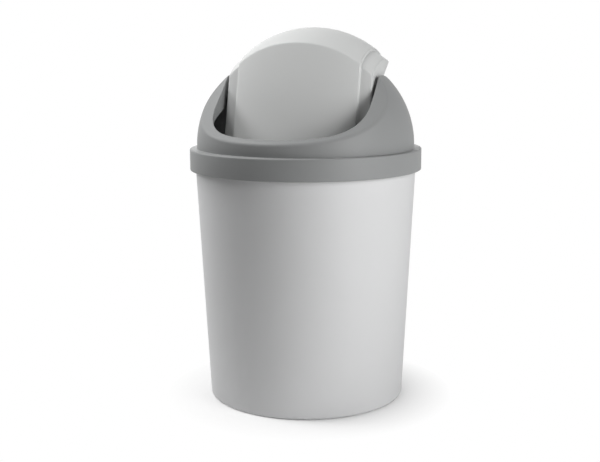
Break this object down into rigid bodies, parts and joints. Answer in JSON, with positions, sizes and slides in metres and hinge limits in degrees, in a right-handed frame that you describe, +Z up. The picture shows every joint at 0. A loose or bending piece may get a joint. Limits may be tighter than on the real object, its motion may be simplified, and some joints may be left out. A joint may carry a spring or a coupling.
{
  "type": "swing-top waste bin",
  "caption": "Tapered round waste bin with a domed lid frame and a swing flap that turns on two pins between its ears.",
  "frame": {"origin": "centre of the bucket's foot ring, on the surface that the bin stands on", "axes": "+Z up along the bucket's axis, front (the mouth's low lip) towards -Y, +X to the right seen from the front, along the flap's pivot axis"},
  "size_m": [0.24, 0.24, 0.3839],
  "materials": {
    "bucket_plastic": "light grey polypropylene, satin, finely grained",
    "frame_plastic": "mid grey polypropylene, satin, finely grained",
    "flap_plastic": "light grey polypropylene, satin, finely grained"
  },
  "bodies": {
    "bin": {"bucket": "bucket_plastic", "lid_frame": "frame_plastic"},
    "flap": {"swing_flap": "flap_plastic"}
  },
  "joints": [
    {"name": "flap_swing", "type": "hinge", "parent": "bin", "child": "flap", "pos_m": [0, 0, 0.3196], "axis": [1, 0, 0], "range_deg": [-32, 58]}
  ]
}
